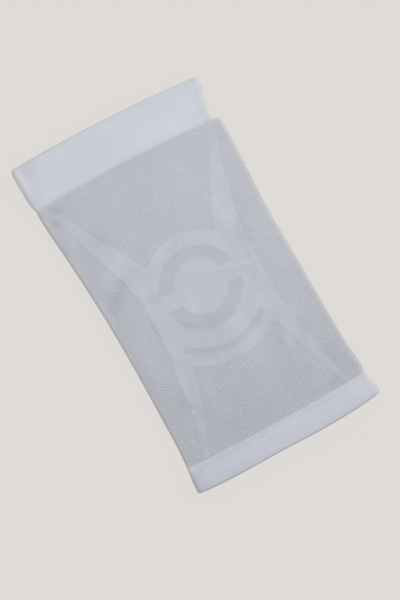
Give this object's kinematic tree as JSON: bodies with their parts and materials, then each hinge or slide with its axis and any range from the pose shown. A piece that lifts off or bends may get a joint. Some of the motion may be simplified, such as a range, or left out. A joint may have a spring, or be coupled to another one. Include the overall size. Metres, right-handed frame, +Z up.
{
  "type": "knee compression sleeve",
  "caption": "Knitted tubular knee sleeve lying flat, open at both ends, with a smooth thigh welt, a ribbed calf cuff and a raised kneecap support pattern.",
  "frame": {"origin": "middle of the footprint, on the surface that the sleeve's back lies on", "axes": "+Y along the sleeve from the calf end to the thigh end, +X to the right of the front, +Z up out of the front"},
  "size_m": [0.1524, 0.2736, 0.0102],
  "materials": {
    "welt_knit": "smooth white double knit, matt",
    "body_knit": "white pique knit with smooth support zones, matt",
    "rib_knit": "white ribbed knit, matt"
  },
  "bodies": {
    "root": {"upper_cuff": "welt_knit", "sleeve_body": "body_knit", "lower_cuff": "rib_knit"}
  },
  "joints": []
}
